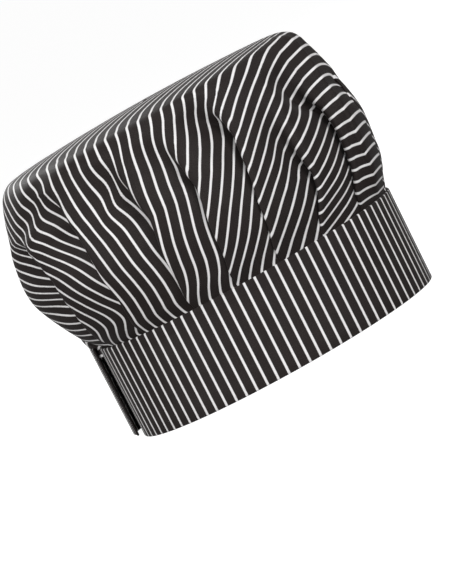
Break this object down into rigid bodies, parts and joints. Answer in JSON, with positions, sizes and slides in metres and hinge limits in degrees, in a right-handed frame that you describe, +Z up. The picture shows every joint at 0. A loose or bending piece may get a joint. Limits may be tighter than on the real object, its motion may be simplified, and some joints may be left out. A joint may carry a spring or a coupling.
{
  "type": "chef cap",
  "caption": "Striped cloth chef cap: tall stiff headband, full pleated crown with a flat top, lapped closure at the back, open hollow for the head.",
  "frame": {"origin": "middle of the footprint, on the surface that the rim rests on", "axes": "+Z up, -Y to the front of the cap, -X to the wearer's right"},
  "size_m": [0.1954, 0.2298, 0.1779],
  "materials": {
    "band_cloth": "matt fine twill, near black, with white lengthwise stripes, stiffened",
    "crown_cloth": "matt fine twill, near black, with white stripes",
    "closing_tape": "black looped tape"
  },
  "bodies": {
    "root": {"headband": "band_cloth", "closure_tape": "closing_tape", "crown": "crown_cloth"}
  },
  "joints": []
}
